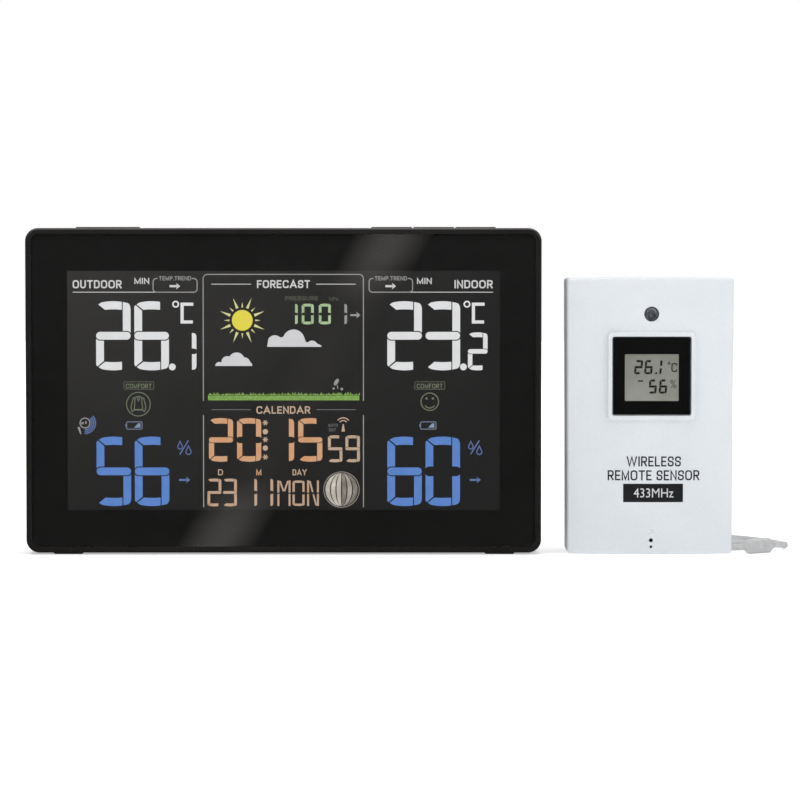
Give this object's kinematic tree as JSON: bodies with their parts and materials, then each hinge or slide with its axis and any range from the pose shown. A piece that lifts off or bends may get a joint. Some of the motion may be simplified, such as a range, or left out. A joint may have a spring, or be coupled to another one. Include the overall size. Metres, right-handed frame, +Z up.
{
  "type": "home weather station",
  "caption": "Slim desk display for indoor and outdoor weather, with a fold-out stand, and its remote sensor with a probe on a thin cord.",
  "frame": {"origin": "on the table, midway between the outer edges of the two units and midway between the front face and the tip of the stand", "axes": "+X to the right as the display is read, -Y the way both faces look, +Z up"},
  "size_m": [0.2816, 0.0738, 0.12],
  "materials": {
    "lens": "gloss, smoked",
    "frame_black": "satin moulded black",
    "case_black": "fine spark texture, black",
    "key_black": "satin black",
    "display_face": "dark liquid crystal face",
    "light_guide": "clear acrylic",
    "white_plastic": "satin moulded cool white",
    "sensor_white": "satin moulded cool white",
    "board_green": "solder mask",
    "chip_black": "moulded epoxy",
    "screw_steel": "zinc plated",
    "pin_steel": "ground",
    "spring_steel": "nickel plated",
    "copper": "enamelled wire",
    "foot_rubber": "matt",
    "seal_rubber": "matt",
    "cord_grey": "satin vinyl",
    "probe_grey": "satin moulded grey",
    "battery_jacket": "printed foil jacket",
    "speaker_black": "matt",
    "jack_black": "moulded",
    "window_black": "clear pane with a black border",
    "sensor_lcd_face": "grey-green reflective",
    "led_smoke": "smoked lens",
    "tie_grey": "paper-plastic twist tie"
  },
  "bodies": {
    "station": {"front_lens": "lens", "front_frame": "frame_black", "rear_case": "case_black", "feet": "foot_rubber", "stand_pin": "pin_steel", "case_screws": "screw_steel", "dc_jack": "jack_black", "lcd_panel": "display_face", "light_guide": "light_guide", "backlight_bar": "board_green", "display_holder": "white_plastic", "main_board": "board_green", "board_screws": "screw_steel", "board_chips": "chip_black", "receiver_module": "board_green", "receiver_antenna": "copper", "button_board": "board_green", "button_switches": "chip_black", "speaker": "speaker_black", "climate_element": "board_green", "station_batteries": "battery_jacket", "station_contacts": "spring_steel"},
    "light_key": {"light_button": "key_black"},
    "mode_key": {"mode_button": "key_black"},
    "up_key": {"up_button": "key_black"},
    "down_key": {"down_button": "key_black"},
    "battery_cover": {"battery_door": "case_black"},
    "stand": {"kickstand": "case_black", "stand_pad": "foot_rubber"},
    "sensor": {"sensor_front": "sensor_white", "sensor_back": "sensor_white", "sensor_window": "window_black", "signal_led": "led_smoke", "sensor_screws": "screw_steel", "cord_gland": "seal_rubber", "sensor_lcd": "sensor_lcd_face", "sensor_board": "board_green", "sensor_chips": "chip_black", "sensor_antenna": "copper", "sensor_switches": "chip_black", "sensor_batteries": "battery_jacket", "sensor_contacts": "spring_steel", "sensor_seal": "seal_rubber", "probe_cord_lead": "cord_grey", "probe_cord_tail": "cord_grey", "cord_coil": "cord_grey", "coil_tie": "tie_grey", "probe_tip": "probe_grey"},
    "sensor_cover": {"sensor_door": "sensor_white"},
    "transmit": {"transmit_key": "key_black"},
    "unit_select": {"unit_key": "key_black"},
    "channel": {"channel_knob": "key_black"}
  },
  "joints": [
    {"name": "light_press", "type": "slide", "parent": "station", "child": "light_key", "axis": [0, 0, -1], "range_m": [0, 0.00045], "stiffness_N_per_m": 1500, "springref_m": -0.0003},
    {"name": "mode_press", "type": "slide", "parent": "station", "child": "mode_key", "axis": [0, 0, -1], "range_m": [0, 0.00045], "stiffness_N_per_m": 1500, "springref_m": -0.0003},
    {"name": "up_press", "type": "slide", "parent": "station", "child": "up_key", "axis": [0, 0, -1], "range_m": [0, 0.00045], "stiffness_N_per_m": 1500, "springref_m": -0.0003},
    {"name": "down_press", "type": "slide", "parent": "station", "child": "down_key", "axis": [0, 0, -1], "range_m": [0, 0.00045], "stiffness_N_per_m": 1500, "springref_m": -0.0003},
    {"name": "battery_cover_lift", "type": "slide", "parent": "station", "child": "battery_cover", "axis": [0, 1, 0], "range_m": [0, 0.02]},
    {"name": "stand_fold", "type": "hinge", "parent": "station", "child": "stand", "pos_m": [-0.0353, -0.00994, 0.009], "axis": [1, 0, 0], "range_deg": [0, 99.3]},
    {"name": "sensor_place", "type": "slide", "parent": "station", "child": "sensor", "axis": [1, 0, 0], "range_m": [0, 0.02]},
    {"name": "sensor_cover_lift", "type": "slide", "parent": "sensor", "child": "sensor_cover", "axis": [0, 1, 0], "range_m": [0, 0.015]},
    {"name": "transmit_press", "type": "slide", "parent": "sensor", "child": "transmit", "axis": [0, -1, 0], "range_m": [0, 0.0006], "stiffness_N_per_m": 900, "springref_m": -0.0003},
    {"name": "unit_press", "type": "slide", "parent": "sensor", "child": "unit_select", "axis": [0, -1, 0], "range_m": [0, 0.0006], "stiffness_N_per_m": 900, "springref_m": -0.0003},
    {"name": "channel_slide", "type": "slide", "parent": "sensor", "child": "channel", "axis": [1, 0, 0], "range_m": [0, 0.004]}
  ]
}
